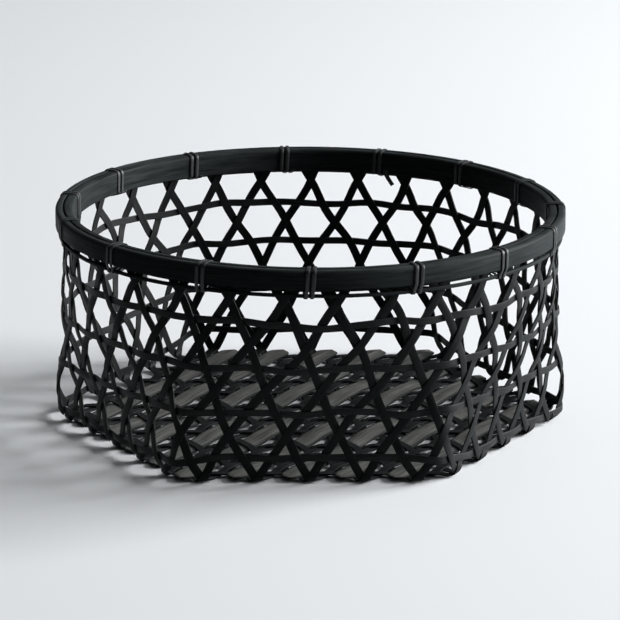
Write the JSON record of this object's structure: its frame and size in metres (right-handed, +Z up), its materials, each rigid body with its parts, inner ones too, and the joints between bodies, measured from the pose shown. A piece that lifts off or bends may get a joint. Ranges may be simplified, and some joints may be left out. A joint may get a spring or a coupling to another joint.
{
  "type": "bamboo storage basket",
  "caption": "Open-weave dark bamboo basket with a six-sided base, slanting hexagon-weave walls, woven hoops, a round banded rim and wound cane ties; stands free and holds loose goods.",
  "frame": {"origin": "centre of the base, at the surface the basket stands on", "axes": "+Z up through the open rim, -Y towards the viewer of the picture (a flat side of the base), +X to the viewer's right through a corner of the base"},
  "size_m": [0.2624, 0.2624, 0.114],
  "materials": {
    "weave_strip": "black-dyed split bamboo, satin",
    "wall_hoop": "black-dyed split bamboo, satin",
    "base_slat": "dark grey split bamboo, satin",
    "rim_band": "black-dyed bamboo with fine grain, satin",
    "rim_tie": "black-dyed flat cane, satin"
  },
  "bodies": {
    "root": {"base_slat_1": "base_slat", "base_slat_2": "base_slat", "base_slat_3": "base_slat", "base_slat_4": "base_slat", "base_slat_5": "base_slat", "base_slat_6": "base_slat", "base_slat_7": "base_slat", "base_slat_8": "base_slat", "rim_inner_band": "rim_band", "rim_narrow_band": "rim_band", "rim_outer_band": "rim_band", "rim_tie_01": "rim_tie", "rim_tie_02": "rim_tie", "rim_tie_03": "rim_tie", "rim_tie_04": "rim_tie", "rim_tie_05": "rim_tie", "rim_tie_06": "rim_tie", "rim_tie_07": "rim_tie", "rim_tie_08": "rim_tie", "rim_tie_09": "rim_tie", "rim_tie_10": "rim_tie", "rim_tie_11": "rim_tie", "rim_tie_12": "rim_tie", "rim_tie_13": "rim_tie", "rim_tie_14": "rim_tie", "rim_tie_15": "rim_tie", "strip_a_01": "weave_strip", "strip_a_02": "weave_strip", "strip_a_03": "weave_strip", "strip_a_04": "weave_strip", "strip_a_05": "weave_strip", "strip_a_06": "weave_strip", "strip_a_07": "weave_strip", "strip_a_08": "weave_strip", "strip_a_09": "weave_strip", "strip_a_10": "weave_strip", "strip_b_01": "weave_strip", "strip_b_02": "weave_strip", "strip_b_03": "weave_strip", "strip_b_04": "weave_strip", "strip_b_05": "weave_strip", "strip_b_06": "weave_strip", "strip_b_07": "weave_strip", "strip_b_08": "weave_strip", "strip_b_09": "weave_strip", "strip_b_10": "weave_strip", "strip_c_01": "weave_strip", "strip_c_02": "weave_strip", "strip_c_03": "weave_strip", "strip_c_04": "weave_strip", "strip_c_05": "weave_strip", "strip_c_06": "weave_strip", "strip_c_07": "weave_strip", "strip_c_08": "weave_strip", "strip_c_09": "weave_strip", "strip_c_10": "weave_strip", "wall_hoop_1": "wall_hoop", "wall_hoop_2": "wall_hoop", "wall_hoop_3": "wall_hoop", "wall_hoop_4": "wall_hoop"}
  },
  "joints": []
}
